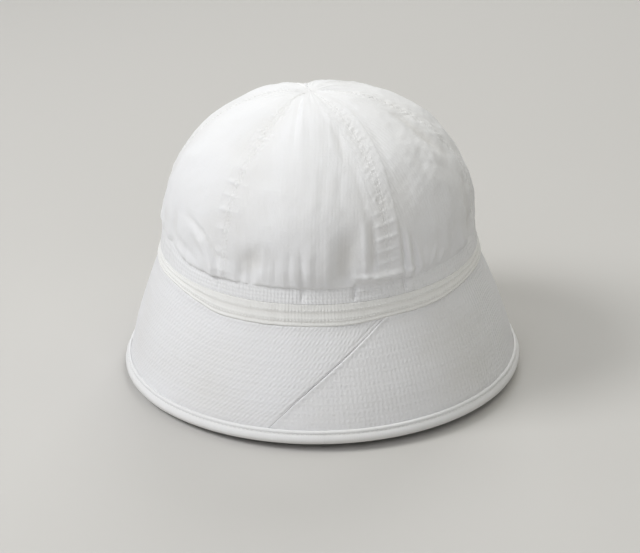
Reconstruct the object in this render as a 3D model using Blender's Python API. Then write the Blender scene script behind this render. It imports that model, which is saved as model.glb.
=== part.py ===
"""White cotton sailor cap, standing on its rim with the brim turned down.

The crown is six gores. Each gore's left edge is felled over its neighbour and stands up as a
ribbon, and the crown's foot is a narrow hem. A tape covers the joint between that hem and the
brim, the brim is one flared bias-cut strip that closes along a slanting seam, and a thick
rolled binding goes round the brim's edge. Azimuths are in degrees: 0 is the front (-Y) and they
grow towards +X. Every other size is in metres.
"""
import math

import bpy
import numpy as np

MM = 0.001

# ---- Driving sizes -------------------------------------------------------------------------
CLOTH = 1.4 * MM             # wall of one gore
CLEARANCE = 0.35 * MM        # left between any two pieces
BRIM_WALL = 2.4 * MM         # several stitched layers
TAPE_WALL = 1.0 * MM
BINDING_WALL = 2.0 * MM

CROWN_RADIUS = 92.3 * MM     # at the widest height
WIDEST_HEIGHT = 97.6 * MM
CROWN_RISE = 73.0 * MM       # from the widest height to the apex
DOME_POWER = 1.05            # above 1 makes the dome a little more pointed than an ellipse
APEX_HOLE = 1.7 * MM         # radius at which the six points stop
APEX_DIP = 1.6 * MM          # the six points sit in a shallow dimple
DIP_RADIUS = 15.0 * MM
BAND_LEAN = -0.8 * MM        # the band sits this far to the left,
DOME_LEAN = 1.0 * MM         # the top of the dome leans back to the right,
APEX_SIDE = -5.5 * MM        # and the apex is pulled to the left of it
APEX_FRONT = -4.0 * MM       # and towards the front
APEX_POWER = 10              # the larger, the less of the dome that pull takes with it

RIM_HEIGHT = 3.3 * MM        # middle of the rolled edge
RIM_RADIUS = 118.2 * MM      # there, on the brim's middle line
TAPE_TOP = 77.0 * MM
TAPE_FOOT = 65.5 * MM
TAPE_TOP_RADIUS = 94.2 * MM  # outer face
TAPE_FOOT_RADIUS = 96.2 * MM
BRIM_TOP = 70.0 * MM
FLARE_TOP = 64.5 * MM        # the brim is upright above this, under the tape
BRIM_BULGE = 2.2 * MM        # how far the brim stands out of a straight cone
BAND_TILT = 0.037            # the back of the band is higher than the front by this slope
BAND_OVAL = 0.012            # share by which the band is wider from side to side

SEAMS = (-35.5, 24.5, 81.0, 144.0, 204.5, 264.5)    # azimuths of the six crown seams
RIBBON = 14.0 * MM           # width of a felled seam
RIBBON_STEP = 1.5 * MM       # width of its sloping flank
RIBBON_ANGLE = 12.0          # the most that half a ribbon takes up near the apex

BRIM_SEAM_TOP = 23.9         # azimuth of the slanting seam at the tape's foot
BRIM_SEAM_SLANT = 33.6       # its angle to the upright there, in degrees, on the flat strip
TAPE_JOIN = -6.3
BINDING_JOIN = 0.0
STRIP_COLUMNS = 60
BRIM_ROWS = 7

# Crown foot, from the hem's lower edge up to where the ellipse takes over.
HEM_COLUMNS = ("height", "radius", "ribbon_height")
HEM = (
    (70.6 * MM, 93.9 * MM, 0.0 * MM),
    (77.0 * MM, 92.8 * MM, 0.0 * MM),
    (81.0 * MM, 91.8 * MM, 0.5 * MM),
    (84.6 * MM, 89.8 * MM, 0.4 * MM),
    (86.6 * MM, 90.9 * MM, 0.8 * MM),
    (90.0 * MM, 91.8 * MM, 1.2 * MM),
)
RIBBON_HEIGHT = 1.2 * MM     # above the crown from there to the apex
RIBBON_TIP_HEIGHT = 0.6 * MM
CREASE_HEIGHT = 84.6 * MM
DOME_ROWS = 13
GORE_COLUMNS = 8             # between the two ribbons

# Folds that run up from the crease: a ridge stands out, a valley has a negative depth.
FOLD_COLUMNS = ("foot_azimuth", "foot_height", "head_azimuth", "head_height", "half_width", "depth")
FOLDS = (
    (-40.5, 86 * MM, -62.0, 118 * MM, 6.5 * MM, 3.0 * MM),
    (-33.0, 92 * MM, -54.0, 124 * MM, 7.0 * MM, -2.4 * MM),
    (-50.0, 84 * MM, -56.0, 98 * MM, 8.0 * MM, -2.6 * MM),
    (-25.5, 85 * MM, -27.5, 106 * MM, 7.0 * MM, -2.4 * MM),
    (-15.0, 85 * MM, -14.0, 108 * MM, 6.0 * MM, 1.0 * MM),
    (-6.6, 84 * MM, -6.3, 110 * MM, 4.0 * MM, -2.2 * MM),
    (3.0, 85 * MM, 3.4, 116 * MM, 4.5 * MM, 1.3 * MM),
    (12.2, 85 * MM, 8.0, 124 * MM, 7.0 * MM, -3.0 * MM),
    (16.8, 85 * MM, 15.5, 118 * MM, 5.0 * MM, 1.5 * MM),
    (30.2, 84 * MM, 29.2, 122 * MM, 4.0 * MM, -1.6 * MM),
    (38.5, 85 * MM, 38.0, 112 * MM, 5.0 * MM, 1.4 * MM),
    (44.5, 84 * MM, 44.0, 106 * MM, 5.0 * MM, -1.4 * MM),
    (62.0, 84 * MM, 60.0, 112 * MM, 8.0 * MM, 1.2 * MM),
    (72.0, 84 * MM, 71.0, 104 * MM, 6.0 * MM, -1.4 * MM),
    (-17.0, 156 * MM, -10.0, 167 * MM, 6.0 * MM, -1.2 * MM),
    (68.0, 132 * MM, 62.0, 162 * MM, 9.0 * MM, -2.2 * MM),
)
# The same kind of folds for each gore that faces away, as shares of the gore's width.
BACK_GORES = (2, 3, 4)
GATHER_COLUMNS = ("place", "lean", "rise", "half_width", "depth")
GATHERS = (
    (0.20, 0.03, 20 * MM, 5.0 * MM, -1.6 * MM),
    (0.34, -0.02, 30 * MM, 6.0 * MM, 1.4 * MM),
    (0.48, 0.04, 24 * MM, 6.0 * MM, -2.4 * MM),
    (0.62, 0.00, 34 * MM, 6.0 * MM, 1.5 * MM),
    (0.78, -0.03, 22 * MM, 5.5 * MM, -1.8 * MM),
)
PUFF = 2.2 * MM              # how far a gore's middle stands out of its seams
TIP_FADE = 18 * MM           # the relief dies away within this radius of the apex


# ---- Shape ---------------------------------------------------------------------------------
def smooth(value, low, high):
    """0 below low, 1 above high and a smooth slope between them."""
    share = np.clip((value - low) / (high - low), 0.0, 1.0)
    return share * share * (3.0 - 2.0 * share)


def place(azimuth, height, radius):
    """Points in space, with the band's tilt, its oval and the apex's shift put in."""
    angle = np.radians(azimuth)
    band = smooth(height, 0.0, TAPE_FOOT) * (1.0 - smooth(height, CREASE_HEIGHT, WIDEST_HEIGHT))
    dome = np.clip((height - WIDEST_HEIGHT) / CROWN_RISE, 0.0, 1.0)
    wide = radius * (1.0 - BAND_OVAL * band * np.cos(2.0 * angle))
    x = wide * np.sin(angle)
    raised = smooth(height, 0.0, TAPE_FOOT)
    near_apex = dome ** APEX_POWER
    x = x + BAND_LEAN * raised + DOME_LEAN * dome + APEX_SIDE * near_apex
    y = -wide * np.cos(angle) + APEX_FRONT * near_apex
    tilt = BAND_TILT * np.clip(height / TAPE_FOOT, 0.0, 1.0) * (1.0 - 0.6 * dome)
    return np.stack(np.broadcast_arrays(x, y, height + tilt * y), axis=-1)


def line_normals(height, radius):
    """Outward unit normals of a line of (height, radius) points that runs upwards."""
    rise, run = np.gradient(height), np.gradient(radius)
    length = np.hypot(rise, run)
    return -run / length, rise / length


def offset(height, radius, distance):
    """The line of points moved out by distance, which may differ from point to point."""
    up, out = line_normals(height, radius)
    return height[:, None] + up[:, None] * distance, radius[:, None] + out[:, None] * distance


def gore_angle(gore):
    """The angle from a gore's own seam to the next one."""
    return (SEAMS[(gore + 1) % len(SEAMS)] - SEAMS[gore]) % 360.0


def fold_rows():
    """The folds by hand, and the gathers of every gore that faces away."""
    rows = [dict(zip(FOLD_COLUMNS, row)) for row in FOLDS]
    for gore in BACK_GORES:
        start, angle = SEAMS[gore], gore_angle(gore)
        for number, row in enumerate(GATHERS):
            gather = dict(zip(GATHER_COLUMNS, row))
            vary = 1.0 + 0.35 * math.sin(2.3 * number + 1.7 * gore)
            foot = start + angle * gather["place"]
            rows.append({
                "foot_azimuth": foot,
                "foot_height": CREASE_HEIGHT,
                "head_azimuth": foot + angle * gather["lean"] * vary,
                "head_height": CREASE_HEIGHT + gather["rise"] * vary,
                "half_width": gather["half_width"],
                "depth": gather["depth"] * vary,
            })
    return rows


def crown_relief(azimuth, height, radius):
    """How far the crown stands out of its plain dome: puffed gores, folds and gathers."""
    turns = np.append(SEAMS, SEAMS[0] + 360.0)
    count = np.arange(len(turns))
    phase = math.pi * np.interp((azimuth - SEAMS[0]) % 360.0, turns - SEAMS[0], count)
    above = smooth(height, CREASE_HEIGHT, CREASE_HEIGHT + 14 * MM)
    tip = smooth(radius, 0.0, TIP_FADE)
    relief = PUFF * (np.sin(phase) ** 2 - 0.5) * above * tip
    for fold in fold_rows():
        run = (height - fold["foot_height"]) / (fold["head_height"] - fold["foot_height"])
        line = fold["foot_azimuth"] + (fold["head_azimuth"] - fold["foot_azimuth"]) * run
        away = np.radians((azimuth - line + 180.0) % 360.0 - 180.0) * radius
        along = smooth(run, -0.12, 0.12) * (1.0 - smooth(run, 0.45, 1.05))
        relief = relief + fold["depth"] * along * np.exp(-(away / fold["half_width"]) ** 2) * tip
    return relief


def dome_line():
    """Heights, radii and ribbon heights from the hem's lower edge to the apex.

    The dome is nearly a quarter of an ellipse, with a dimple taken out round the apex.
    """
    hem = [dict(zip(HEM_COLUMNS, row)) for row in HEM]
    last = math.acos((APEX_HOLE / CROWN_RADIUS) ** (1.0 / DOME_POWER))
    first = math.asin((HEM[-1][0] + 4 * MM - WIDEST_HEIGHT) / CROWN_RISE)
    turn = first + (last - first) * np.linspace(0.0, 1.0, DOME_ROWS)
    dome_radius = CROWN_RADIUS * np.cos(turn) ** DOME_POWER
    dimple = APEX_DIP * np.exp(-(dome_radius / DIP_RADIUS) ** 2)
    dome_height = WIDEST_HEIGHT + CROWN_RISE * np.sin(turn) - dimple
    height = np.concatenate([[row["height"] for row in hem], dome_height])
    radius = np.concatenate([[row["radius"] for row in hem], dome_radius])
    top = RIBBON_HEIGHT + (RIBBON_TIP_HEIGHT - RIBBON_HEIGHT) * smooth(turn, 1.2, last)
    ribbon = np.concatenate([[row["ribbon_height"] for row in hem], top])
    return height, radius, ribbon


def gore_columns(radius, angle):
    """Azimuths within a gore of this angle, row by row, and where they lie on the two ribbons.

    Each gore starts half a ribbon left of its own seam and ends under the next gore's ribbon.
    lap is 1 on its own ribbon, tuck is 1 where it runs under the next one.
    """
    half = np.minimum(np.degrees(0.5 * RIBBON / radius), RIBBON_ANGLE)
    step = np.minimum(np.degrees(RIBBON_STEP / radius), 0.5 * half)
    gap = np.degrees(2.0 * CLEARANCE / radius)
    body = np.linspace(0.0, 1.0, GORE_COLUMNS)[None, :]
    start, stop = half + step, angle - half - step
    columns = [-half, 0.0 * half, half]
    columns += list((start[:, None] + (stop - start)[:, None] * body).T)
    columns += [angle - half]
    end = angle + half - gap
    columns += [np.minimum(angle, end - 0.2), end]
    lap = np.array([1.0] * 3 + [0.0] * (len(columns) - 3))
    tuck = np.array([0.0] * (len(columns) - 3) + [1.0] * 3)
    return np.stack(columns, axis=1), lap, tuck


def band_radius(height):
    """Outer face of the tape, which follows the flare of the cap's foot."""
    share = (TAPE_TOP - height) / (TAPE_TOP - TAPE_FOOT)
    return TAPE_TOP_RADIUS + (TAPE_FOOT_RADIUS - TAPE_TOP_RADIUS) * share


def brim_radius(height):
    """Outer face of the brim: a cone that bulges a little, and lies flat under the tape."""
    under_tape = band_radius(np.maximum(height, FLARE_TOP)) - TAPE_WALL - CLEARANCE
    share = np.maximum((FLARE_TOP - height) / (FLARE_TOP - RIM_HEIGHT), 0.0)
    flare = under_tape + (RIM_RADIUS + 0.5 * BRIM_WALL - under_tape) * share
    return flare + 4.0 * BRIM_BULGE * share * (1.0 - share)


def brim_seam(height):
    """Azimuth of the slanting seam: a straight line once the brim's cone is unrolled flat.

    Unrolled, a point's reach from the cone's tip is its radius over the cone's sine, and a
    straight line that passes the tip at some distance has cos(angle) = distance / reach.
    """
    flare = (RIM_RADIUS - TAPE_FOOT_RADIUS) / (TAPE_FOOT - RIM_HEIGHT)
    cone = math.atan(flare)
    radius = TAPE_FOOT_RADIUS + flare * (TAPE_FOOT - height)
    passes = TAPE_FOOT_RADIUS * math.cos(math.radians(BRIM_SEAM_SLANT))
    turned = np.degrees(np.arccos(passes / radius)) - BRIM_SEAM_SLANT
    return BRIM_SEAM_TOP - turned / math.sin(cone)


# ---- Bodies --------------------------------------------------------------------------------
def wall_faces(grid, outward):
    """Triangles over a grid of point numbers, all split along the same diagonal."""
    low, right, high, left = grid[:-1, :-1], grid[:-1, 1:], grid[1:, 1:], grid[1:, :-1]
    lower, upper = np.stack([low, right, left], -1), np.stack([right, high, left], -1)
    faces = np.concatenate([lower.reshape(-1, 3), upper.reshape(-1, 3)])
    return faces if outward else faces[:, ::-1]


def cloth_body(name, front, back, colour, roughness):
    """A closed wall between two grids of points, with its four edges filled in."""
    rows, columns = front.shape[:2]
    near = np.arange(rows * columns).reshape(rows, columns)
    far = near + rows * columns
    faces = np.concatenate([
        wall_faces(near, True), wall_faces(far, False),
        wall_faces(np.stack([far[0], near[0]]), True),
        wall_faces(np.stack([near[-1], far[-1]]), True),
        wall_faces(np.stack([near[:, 0], far[:, 0]]), True),
        wall_faces(np.stack([far[:, -1], near[:, -1]]), True),
    ])
    points = np.concatenate([front.reshape(-1, 3), back.reshape(-1, 3)])
    mesh = bpy.data.meshes.new(name)
    mesh.from_pydata(points.tolist(), [], faces.tolist())
    mesh.materials.append(cotton(name, colour, roughness))
    mesh.shade_smooth()
    mesh.set_sharp_from_angle(angle=math.radians(50.0))
    body = bpy.data.objects.new(name, mesh)
    bpy.context.collection.objects.link(body)
    return body


def cotton(name, colour, roughness):
    """A matt cotton finish."""
    material = bpy.data.materials.new(name + "_cotton")
    material.use_nodes = True
    shader = material.node_tree.nodes["Principled BSDF"]
    shader.inputs["Base Color"].default_value = (*colour, 1.0)
    shader.inputs["Roughness"].default_value = roughness
    shader.inputs["Metallic"].default_value = 0.0
    return material


def crown_panel(number):
    """One gore: hem, dome and the ribbon that laps over its left neighbour."""
    height, radius, ribbon = dome_line()
    columns, lap, tuck = gore_columns(radius, gore_angle(number - 1))
    azimuth = SEAMS[number - 1] + columns
    relief = crown_relief(azimuth, height[:, None], radius[:, None])
    under = CLOTH + CLEARANCE - ribbon
    lift = relief + ribbon[:, None] * lap - under[:, None] * tuck
    front = place(azimuth, *offset(height, radius, lift))
    back = place(azimuth, *offset(height, radius, lift - CLOTH))
    return cloth_body(f"crown_panel_{number}", front, back, (0.90, 0.90, 0.89), 0.85)


def brim():
    """The brim: one strip bent into a flared ring, whose ends meet along a slanting seam."""
    height = np.append(np.linspace(RIM_HEIGHT, FLARE_TOP, BRIM_ROWS), [TAPE_FOOT, BRIM_TOP])
    radius = brim_radius(height)
    round_share = np.linspace(0.0, 1.0, STRIP_COLUMNS + 1)[None, :]
    seam = brim_seam(height)
    gap = np.degrees(CLEARANCE / radius)
    near_seam = np.abs(2.0 * round_share - 1.0) ** 1.5
    start = np.mean(seam) + (seam - np.mean(seam))[:, None] * near_seam
    azimuth = start + gap[:, None] + (360.0 - 2.0 * gap[:, None]) * round_share
    front = place(azimuth, *offset(height, radius, 0.0 * azimuth))
    back = place(azimuth, *offset(height, radius, 0.0 * azimuth - BRIM_WALL))
    return cloth_body("brim", front, back, (0.90, 0.90, 0.89), 0.85)


def strip_azimuths(join, radius):
    """Azimuths once round a strip whose two ends meet at join."""
    gap = math.degrees(0.5 * CLEARANCE / radius)
    return np.linspace(join + gap, join + 360.0 - gap, STRIP_COLUMNS + 1)


def band_tape():
    """The flat tape over the joint of crown and brim."""
    azimuth = strip_azimuths(TAPE_JOIN, TAPE_TOP_RADIUS)[None, :]
    height = np.array([TAPE_FOOT, FLARE_TOP + 2 * MM, TAPE_TOP - 1 * MM, TAPE_TOP])[:, None]
    swell = np.array([0.0, 0.15, 0.15, 0.0])[:, None] * MM
    front = place(azimuth, height, band_radius(height) + swell)
    back = place(azimuth, height, band_radius(height) - TAPE_WALL)
    return cloth_body("band_tape", front, back, (0.90, 0.89, 0.86), 0.85)


def brim_binding():
    """The rolled binding: a C-shaped section round the brim's edge, flat where it stands."""
    edge_radius = brim_radius(np.array([RIM_HEIGHT, RIM_HEIGHT + 6 * MM]))
    lean = math.atan2(edge_radius[0] - edge_radius[1], 6 * MM)
    along = np.array([-math.cos(lean), math.sin(lean)])       # (height, radius), down the brim
    across = np.array([math.sin(lean), math.cos(lean)])       # out of it
    middle = np.array([RIM_HEIGHT, edge_radius[0]]) - 0.5 * BRIM_WALL * across
    legs = ((-5.0 * MM, 0.5), (-3.8 * MM, 1.0))
    roll = np.radians(np.linspace(90.0, -90.0, 7))

    def section(wall):
        half = 0.5 * BRIM_WALL + CLEARANCE
        outer = [middle + along * run + across * (half + wall * full) for run, full in legs]
        bend = [middle + (half + wall) * (along * math.cos(a) + across * math.sin(a)) for a in roll]
        inner = [middle + along * run - across * (half + wall * full) for run, full in legs[::-1]]
        points = np.array(outer + bend + inner)
        points[:, 0] = np.maximum(points[:, 0], 0.0)
        return points[:, :, None]

    azimuth = strip_azimuths(BINDING_JOIN, RIM_RADIUS)[None, :]
    front, back = section(BINDING_WALL)[::-1], section(0.0)[::-1]
    front = place(azimuth, front[:, 0] + 0.0 * azimuth, front[:, 1] + 0.0 * azimuth)
    back = place(azimuth, back[:, 0] + 0.0 * azimuth, back[:, 1] + 0.0 * azimuth)
    return cloth_body("brim_binding", front, back, (0.93, 0.93, 0.92), 0.80)


def main():
    for item in list(bpy.data.objects):
        bpy.data.objects.remove(item, do_unlink=True)
    for number in range(1, len(SEAMS) + 1):
        crown_panel(number)
    brim()
    band_tape()
    brim_binding()


main()
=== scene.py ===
# %% [markdown]
# # A sailor cap, stitch by stitch
#
# This script dresses the plain solids of a white cotton sailor cap. The solids already have the
# right size and place, so every cloth surface here is worked out from the same few lines: one
# outline for the crown, one for the tape, one for the brim and one for the rolled edge. On top of
# them comes what makes cloth look like cloth: folds, puckers along the seams, stitches and weave.

# %% Load the fixed frame
import math

import bpy
import numpy as np
from mathutils import Matrix, Vector


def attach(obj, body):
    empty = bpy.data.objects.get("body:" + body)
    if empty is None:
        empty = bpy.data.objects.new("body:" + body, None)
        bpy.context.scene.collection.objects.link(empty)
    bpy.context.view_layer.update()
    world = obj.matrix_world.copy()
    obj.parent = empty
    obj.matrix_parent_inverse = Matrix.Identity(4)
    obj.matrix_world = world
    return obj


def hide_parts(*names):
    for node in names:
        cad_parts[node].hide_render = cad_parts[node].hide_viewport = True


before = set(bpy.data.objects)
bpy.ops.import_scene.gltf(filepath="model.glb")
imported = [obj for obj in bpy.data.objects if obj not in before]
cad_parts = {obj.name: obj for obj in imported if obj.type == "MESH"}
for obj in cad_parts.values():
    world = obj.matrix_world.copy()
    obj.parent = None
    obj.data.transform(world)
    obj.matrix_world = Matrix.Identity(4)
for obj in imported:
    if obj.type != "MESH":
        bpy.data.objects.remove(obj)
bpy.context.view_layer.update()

MM = 0.001
print("solids:", ", ".join(sorted(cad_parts)))


def in_mm(lengths):
    """Lengths as plain numbers in millimetres, for printing."""
    return (np.array(lengths, dtype=float) / MM).round(1).tolist()


# %% [markdown]
# ## The camera
#
# The photographer stood in front of the cap and looked down on it with a long lens. A long lens
# keeps the rim from swelling towards the viewer, so the focal length matters as much as the
# angle. The camera is built from its three axes, which also takes in its slight roll.

# %% Camera at the photographer's place
AIM = Vector((-0.65, 0.0, 49.93)) * MM
DISTANCE = 977.6 * MM
LOOK_DOWN, ROLL = math.radians(23.27), math.radians(-1.105)

forward = Vector((0.0, math.cos(LOOK_DOWN), -math.sin(LOOK_DOWN)))
level = Vector((1.0, 0.0, 0.0))
upward = level.cross(forward)
right_axis = level * math.cos(ROLL) + upward * math.sin(ROLL)
up_axis = upward * math.cos(ROLL) - level * math.sin(ROLL)

lens = bpy.data.cameras.new("photo_lens")
lens.lens = 90.0
lens.sensor_fit = "HORIZONTAL"
lens.sensor_width = 36.0
lens.clip_start, lens.clip_end = 0.05, 20.0
camera = bpy.data.objects.new("photo_camera", lens)
bpy.context.collection.objects.link(camera)
turn = Matrix((right_axis, up_axis, -forward)).transposed()
camera.matrix_world = Matrix.Translation(AIM - forward * DISTANCE) @ turn.to_4x4()
bpy.context.scene.camera = camera
print("camera at, mm:", in_mm(camera.location))

# %% [markdown]
# ## The cap's measurements
#
# These are the sizes the solids were made to. A visible surface that repeats them lands exactly
# where its solid is, with no fitting by eye.

# %% Sizes shared with the solids
CROWN_RADIUS, WIDEST_HEIGHT, CROWN_RISE = 92.3 * MM, 97.6 * MM, 73.0 * MM
DOME_POWER, APEX_DIP, DIP_RADIUS = 1.05, 1.6 * MM, 15.0 * MM
BAND_LEAN, DOME_LEAN = -0.8 * MM, 1.0 * MM
APEX_SIDE, APEX_FRONT, APEX_POWER = -5.5 * MM, -4.0 * MM, 10
RIM_HEIGHT, RIM_RADIUS = 3.3 * MM, 118.2 * MM
TAPE_TOP, TAPE_FOOT = 77.0 * MM, 65.5 * MM
TAPE_TOP_RADIUS, TAPE_FOOT_RADIUS = 94.2 * MM, 96.2 * MM
BRIM_TOP, FLARE_TOP, BRIM_BULGE = 70.0 * MM, 64.5 * MM, 2.2 * MM
BAND_TILT, BAND_OVAL = 0.037, 0.012
CREASE_HEIGHT = 84.6 * MM

SEAMS = (-35.5, 24.5, 81.0, 144.0, 204.5, 264.5)
RIBBON, RIBBON_ANGLE = 14.0 * MM, 12.0
BRIM_SEAM_TOP, BRIM_SEAM_SLANT = 23.9, 33.6
TAPE_JOIN, BINDING_JOIN = -6.3, 0.0

# walls, a little thinner than those of the solids
GORE_WALL, TAPE_WALL, BRIM_WALL = 1.0 * MM, 0.9 * MM, 2.0 * MM
print("gores:", len(SEAMS), "with seams at", SEAMS)

# %% [markdown]
# ## From a flat outline to the real cap
#
# A cap is nearly a surface of revolution: an outline of heights and radii turned about an upright
# axis. The real one isn't quite round and leans a little, so each point is turned first and then
# nudged by the small leans, the oval of the band and the tilt of its back. At its sides the cap
# is pushed up a little, so there the foot of the tape and the crown's crease lie higher.

# %% Turning an outline into points
def smooth(value, low, high):
    """0 below low, 1 above high, and share^2 (3 - 2 share) between them."""
    share = np.clip((value - low) / (high - low), 0.0, 1.0)
    return share * share * (3.0 - 2.0 * share)


def window(value, low, full, fading, gone):
    """Climbs from 0 to 1 between low and full, and falls back between fading and gone."""
    return smooth(value, low, full) * (1.0 - smooth(value, fading, gone))


def turned_from(origin, azimuth):
    """Degrees from one azimuth to the other, between -180 and 180."""
    return (azimuth - origin + 180.0) % 360.0 - 180.0


def together(*parts):
    """The parts brought to one shape and stacked along a new last axis."""
    return np.stack(np.broadcast_arrays(*parts), axis=-1)


def side_lift(azimuth, height):
    """How far the sides climb. Both climbs die out above and below.

    The tape's foot climbs by nothing at the front, 1.8 mm beyond it, and up to 6.6 mm at the
    left and 4.6 mm at the right. The crease climbs by up to 5.5 mm at the left.
    """
    turned = turned_from(0.0, azimuth)
    aside, level = np.abs(turned), height / MM
    beyond = 1.0 - smooth(aside, 84.0, 122.0)
    foot = 1.8 - 1.9 * window(turned, -47.0, -35.0, 5.0, 27.0)
    foot = foot + (3.8 - np.sign(turned)) * smooth(aside, 38.0, 67.0) * beyond
    foot = foot * np.interp(level, [18.0, 40.0, 64.8, 76.4], [0.0, 0.35, 1.0, 0.0])
    crease = 5.5 * smooth(-turned, 52.0, 70.0) * beyond
    crease = crease * np.interp(level, [76.4, 84.6, 88.0, 100.0, 116.0], [0.0, 1.0, 0.95, 0.35, 0.0])
    return (foot + crease) * MM


def place(azimuth, height, radius):
    """Points at (radius sin azimuth, -radius cos azimuth, height), then leaned and tilted."""
    angle = np.radians(azimuth)
    band = smooth(height, 0.0, TAPE_FOOT) * (1.0 - smooth(height, CREASE_HEIGHT, WIDEST_HEIGHT))
    dome = np.clip((height - WIDEST_HEIGHT) / CROWN_RISE, 0.0, 1.0)
    near_apex = dome ** APEX_POWER
    wide = radius * (1.0 - BAND_OVAL * band * np.cos(2.0 * angle))
    lean = BAND_LEAN * smooth(height, 0.0, TAPE_FOOT) + DOME_LEAN * dome + APEX_SIDE * near_apex
    x = wide * np.sin(angle) + lean
    y = -wide * np.cos(angle) + APEX_FRONT * near_apex
    tilt = BAND_TILT * np.clip(height / TAPE_FOOT, 0.0, 1.0) * (1.0 - 0.6 * dome)
    up = height + side_lift(azimuth, height) + tilt * y
    return together(x, y, up)


print("front of the rim, mm:", in_mm(place(0.0, 0.0, RIM_RADIUS)))

# %% [markdown]
# ## Irregularity without randomness
#
# Cloth is never even. Three kinds of wave give that: one runs round the cap and closes on itself,
# one runs along a line, and one fills space, so it doesn't break where two pieces meet. All are
# sums of sines with phases from a numbered seed, so each run gives the same cap.

# %% Waves round the cap, along a line and through space
TURN = 2.0 * math.pi             # one full wave, as an angle


def ripple(azimuth, lowest, highest, seed):
    """Sum of sines with lowest..highest whole waves round the cap, scaled to about -1..1."""
    rng = np.random.default_rng(seed)
    total = np.zeros(np.shape(azimuth))
    for waves in range(lowest, highest + 1):
        total = total + rng.normal() * np.sin(waves * np.radians(azimuth) + rng.uniform(0.0, TURN))
    return total / math.sqrt(highest - lowest + 1)


def wander(run, wavelength, seed):
    """Sum of five sines along a line, whose lengths lie round the wavelength."""
    rng = np.random.default_rng(seed)
    total = np.zeros(np.shape(run))
    for _ in range(5):
        stretch = rng.uniform(0.6, 1.7)
        total = total + np.sin(TURN * run / (wavelength * stretch) + rng.uniform(0.0, TURN))
    return total / 2.2


def rumple(points, wavelength, seed, waves=14):
    """Sum of plane waves in all directions of space, read at the points."""
    rng = np.random.default_rng(seed)
    heading = rng.normal(size=(waves, 3))
    heading /= np.linalg.norm(heading, axis=1)[:, None]
    pace = TURN / (wavelength * rng.uniform(0.7, 1.5, waves))
    phase = rng.uniform(0.0, TURN, waves)
    total = np.zeros(points.shape[:-1])
    for way, rate, start in zip(heading, pace, phase):
        total = total + np.sin(points @ way * rate + start)
    return total / math.sqrt(waves)


print("a ripple round the cap:", np.round(ripple(np.arange(0.0, 360.0, 60.0), 3, 9, 1), 2))

# %% [markdown]
# ## A cloth shell
#
# Every strip of the cap is a grid of points with a wall behind it. The inner face needs no fine
# detail, so it takes every third point only, and the edge between the two faces is closed with
# six-sided faces: three short steps outside, one long step inside.

# %% Mesh from whole arrays
def grid_quads(grid):
    """Four-sided faces over a grid of point numbers, seen from its outer side."""
    return np.stack([grid[:-1, :-1], grid[:-1, 1:], grid[1:, 1:], grid[1:, :-1]], -1).reshape(-1, 4)


def edge_strip(fine, coarse):
    """Six-sided faces between an edge with 3n steps and one with n steps."""
    corners = [coarse[:-1], coarse[1:], fine[3::3], fine[2::3], fine[1::3], fine[:-1:3]]
    return np.stack(corners, -1)


def new_piece(name, points, faces, attributes):
    """A mesh object at the origin, with its point attributes and smooth faces."""
    mesh = bpy.data.meshes.new(name)
    mesh.from_pydata(points, [], faces)
    for key, values in attributes.items():
        kind = "FLOAT_VECTOR" if np.ndim(values) == 2 else "FLOAT"
        field = "vector" if kind == "FLOAT_VECTOR" else "value"
        layer = mesh.attributes.new(key, kind, "POINT")
        layer.data.foreach_set(field, np.ascontiguousarray(values, dtype=np.float32).ravel())
    mesh.shade_smooth()
    mesh.set_sharp_from_angle(angle=math.radians(55.0))
    mesh.validate()
    piece = bpy.data.objects.new(name, mesh)
    bpy.context.collection.objects.link(piece)
    return piece


def cloth_shell(name, outer, inner, weave, threads, painted_shade):
    """A closed wall: outer has 3n+1 rows and columns, inner every third of them.

    weave is each outer point's place on the flat cloth, threads says how strongly its upright,
    level and slanting threads show, and the last array says how much painted shade its colour
    takes, from 0 to 1, more the deeper it lies in a fold or groove. The faces inside are turned
    over, so all of them look outwards.
    """
    rows, columns = outer.shape[:2]
    fine = np.arange(rows * columns).reshape(rows, columns)
    coarse = fine.size + np.arange(inner[..., 0].size).reshape(inner.shape[:2])
    faces = grid_quads(fine).tolist() + grid_quads(coarse)[:, ::-1].tolist()
    faces += edge_strip(fine[0], coarse[0]).tolist()
    faces += edge_strip(fine[-1], coarse[-1])[:, ::-1].tolist()
    faces += edge_strip(fine[:, 0], coarse[:, 0])[:, ::-1].tolist()
    faces += edge_strip(fine[:, -1], coarse[:, -1]).tolist()
    plain = 0.0 * outer[..., 0]

    def both_faces(values):
        ends = values.shape[2:]
        return np.concatenate([values.reshape(-1, *ends), values[::3, ::3].reshape(-1, *ends)])

    piece = new_piece(name, np.concatenate([outer.reshape(-1, 3), inner.reshape(-1, 3)]), faces, {
        "weave": both_faces(together(weave[0] / MM, weave[1] / MM, plain)),
        "threads": both_faces(together(*threads, plain)[..., :3]),
        "painted_shade": both_faces(painted_shade + plain)})
    triangles = sum(len(face) - 2 for face in faces)
    print(f"{name}: {rows} x {columns} points, {triangles} triangles")
    return piece


def lowest_near(field):
    """For every third point, the least value within two steps of it."""
    reach, (rows, columns) = 2, field.shape
    padded = np.pad(field, reach, mode="edge")
    steps = range(2 * reach + 1)
    parts = [padded[i:i + rows, j:j + columns] for i in steps for j in steps]
    return np.minimum.reduce(parts)[::3, ::3]


# %% [markdown]
# ## The crown's outline
#
# The outline starts under the tape, leans inwards up the narrow hem, turns at the crease where
# the gathered cloth folds over, and then follows nearly a quarter of an ellipse to the apex. It
# is stored as a fine line with its outward directions, so that any arc length along it can be
# looked up at once.

# %% Outline of the crown as a lookup by arc length
HEM_START = 72.0 * MM
HEM_RADIUS = 92.8 * MM           # at the height of the tape's top
HEM_LEAN = 0.25                  # how much the hem draws in for each unit that it rises
TIP_RADIUS = 0.3 * MM
OUTLINE_POINTS = 1600
CLIMBING = 1500                  # as many of its points surely climb, before the dimple at the apex


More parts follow.
